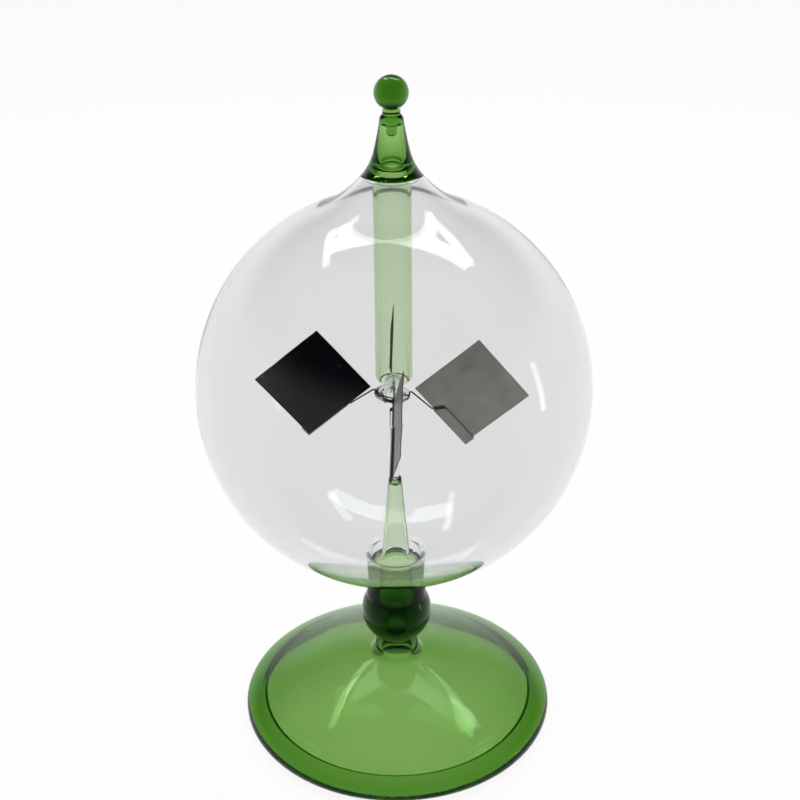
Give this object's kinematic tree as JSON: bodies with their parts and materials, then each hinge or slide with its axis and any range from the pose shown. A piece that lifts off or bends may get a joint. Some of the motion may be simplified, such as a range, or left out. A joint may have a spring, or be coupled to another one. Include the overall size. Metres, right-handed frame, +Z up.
{
  "type": "crookes radiometer",
  "caption": "Clear blown glass globe on a hollow green glass foot, with a four-vaned rotor that spins on a needle point inside it.",
  "frame": {"origin": "centre of the flat ring that the foot stands on", "axes": "+Z up along the globe's axis, -Y towards the viewer of the picture"},
  "size_m": [0.12, 0.12, 0.2157],
  "materials": {
    "green_glass": "blown and fire-polished deep green glass",
    "pale_green_glass": "thin drawn green glass tube",
    "clear_glass": "thin blown clear glass",
    "needle_steel": "polished steel",
    "arm_wire": "dark drawn wire",
    "vane_metal": "thin rolled sheet, slightly creased",
    "lamp_black": "dead black soot coat"
  },
  "bodies": {
    "stand": {"foot": "green_glass", "foot_collar": "green_glass", "knop": "green_glass", "neck_tube": "green_glass", "bottom_seal": "green_glass", "stem_tube": "pale_green_glass", "bulb": "clear_glass", "needle_holder": "clear_glass", "needle": "needle_steel", "guard_tube": "pale_green_glass", "top_seal": "green_glass", "finial_cone": "green_glass", "finial_ball": "green_glass"},
    "rotor": {"hub_cup": "clear_glass", "arm_wire_1": "arm_wire", "vane_sheet_1": "vane_metal", "vane_blacking_1": "lamp_black", "arm_wire_2": "arm_wire", "vane_sheet_2": "vane_metal", "vane_blacking_2": "lamp_black", "arm_wire_3": "arm_wire", "vane_sheet_3": "vane_metal", "vane_blacking_3": "lamp_black", "arm_wire_4": "arm_wire", "vane_sheet_4": "vane_metal", "vane_blacking_4": "lamp_black"}
  },
  "joints": [
    {"name": "rotor_spin", "type": "hinge", "parent": "stand", "child": "rotor", "pos_m": [0, 0, 0.1234], "axis": [0, 0, 1], "continuous": true}
  ]
}
